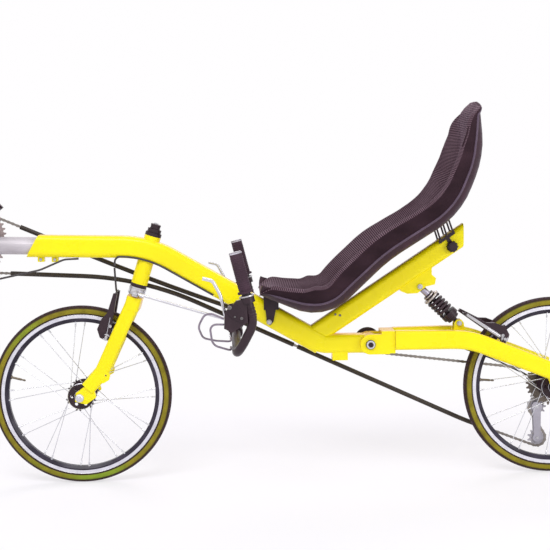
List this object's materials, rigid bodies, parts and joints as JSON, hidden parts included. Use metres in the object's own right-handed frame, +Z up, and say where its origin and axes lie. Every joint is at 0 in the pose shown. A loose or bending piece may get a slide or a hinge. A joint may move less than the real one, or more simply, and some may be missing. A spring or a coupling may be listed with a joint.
{
  "type": "recumbent bicycle",
  "caption": "Short-wheelbase recumbent bicycle with a curved beam frame, sprung swing arm, moulded seat, under-seat steering and small spoked wheels.",
  "frame": {"origin": "the rider's place on the seat, just above the lowest part of the cushion, in the middle plane", "axes": "+X rearwards, +Y to the rider's right, +Z up; the bicycle travels towards -X"},
  "size_m": [1.8651, 0.548, 0.9659],
  "materials": {
    "frame_paint": "gloss",
    "silver_alloy": "satin",
    "steel": "satin",
    "black_metal": "satin",
    "black_plastic": "matte",
    "chain_steel": "satin",
    "guide_tube": "matte",
    "tyre": "matte",
    "rim": "satin",
    "spoke": "gloss",
    "grip": "matte",
    "seat_shell": "satin",
    "seat_pad": "woven",
    "cable": "satin"
  },
  "bodies": {
    "frame": {"main_beam": "frame_paint", "seat_mast": "frame_paint", "boom": "silver_alloy", "bottom_bracket": "black_metal", "headset_cups": "black_metal", "swing_arm_yoke": "frame_paint", "swing_arm_right": "frame_paint", "swing_arm_left": "frame_paint", "swing_arm_bridge": "frame_paint", "pivot_axle": "black_metal", "shock_body": "silver_alloy", "shock_spring": "black_metal", "seat_shell": "seat_shell", "seat_cushion": "seat_pad", "seat_front_bracket": "black_metal", "seat_rear_stay": "black_metal", "rear_brake": "black_metal", "front_derailleur": "silver_alloy", "rear_derailleur": "silver_alloy", "derailleur_cage": "silver_alloy", "jockey_wheels": "black_plastic", "idler": "black_plastic", "chain_drive_run": "chain_steel", "chain_return_run": "chain_steel", "chain_tubes": "guide_tube", "axle_rear": "steel", "cables_frame": "cable"},
    "fork": {"fork_crown": "frame_paint", "fork_leg_right": "frame_paint", "fork_leg_left": "frame_paint", "steering_arm": "silver_alloy", "headset_cap": "black_metal", "axle_front": "steel", "front_brake": "black_metal", "cable_brake_front": "cable"},
    "handlebar": {"handlebar": "black_metal", "bar_stem": "black_metal", "grip_left": "grip", "grip_right": "grip", "brake_lever_left": "black_plastic", "brake_lever_right": "black_plastic", "cables_handlebar": "cable"},
    "drag_link": {"drag_link": "steel"},
    "front_wheel": {"tyre_front": "tyre", "rim_front": "rim", "spokes_front": "spoke", "hub_front": "black_metal"},
    "rear_wheel": {"tyre_rear": "tyre", "rim_rear": "rim", "spokes_rear": "spoke", "hub_rear": "black_metal", "cassette": "steel"},
    "crank": {"crank_spindle": "steel", "crank_right": "silver_alloy", "crank_left": "silver_alloy", "chainrings": "steel"},
    "pedal_left": {"pedal_left": "black_plastic"},
    "pedal_right": {"pedal_right": "black_plastic"}
  },
  "joints": [
    {"name": "steering", "type": "hinge", "parent": "frame", "child": "fork", "pos_m": [-0.46354, 0, 0.02302], "axis": [0.2974, 0, 0.9548], "range_deg": [-28, 28]},
    {"name": "bar_turn", "type": "hinge", "parent": "frame", "child": "handlebar", "pos_m": [-0.20665, 0, -0.06013], "axis": [0.2974, 0, 0.9548], "range_deg": [-28, 28]},
    {"name": "link_turn", "type": "hinge", "parent": "fork", "child": "drag_link", "pos_m": [-0.46443, -0.05, 0.02016], "axis": [0.2974, 0, 0.9548], "range_deg": [-28, 28]},
    {"name": "front_wheel_spin", "type": "hinge", "parent": "fork", "child": "front_wheel", "pos_m": [-0.61195, 0, -0.24497], "axis": [0, 1, 0], "continuous": true},
    {"name": "rear_wheel_spin", "type": "hinge", "parent": "frame", "child": "rear_wheel", "pos_m": [0.61305, 0, -0.24497], "axis": [0, 1, 0], "continuous": true},
    {"name": "crank_spin", "type": "hinge", "parent": "frame", "child": "crank", "pos_m": [-0.913, 0, 0.16], "axis": [0, 1, 0], "continuous": true},
    {"name": "pedal_right_spin", "type": "hinge", "parent": "crank", "child": "pedal_right", "pos_m": [-0.913, 0.11, -0.01], "axis": [0, 1, 0], "continuous": true},
    {"name": "pedal_left_spin", "type": "hinge", "parent": "crank", "child": "pedal_left", "pos_m": [-0.913, -0.11, 0.33], "axis": [0, 1, 0], "continuous": true}
  ],
  "couplings": [
    {"joint": "bar_turn", "follows": "steering", "ratio": 1},
    {"joint": "link_turn", "follows": "steering", "ratio": -1}
  ]
}
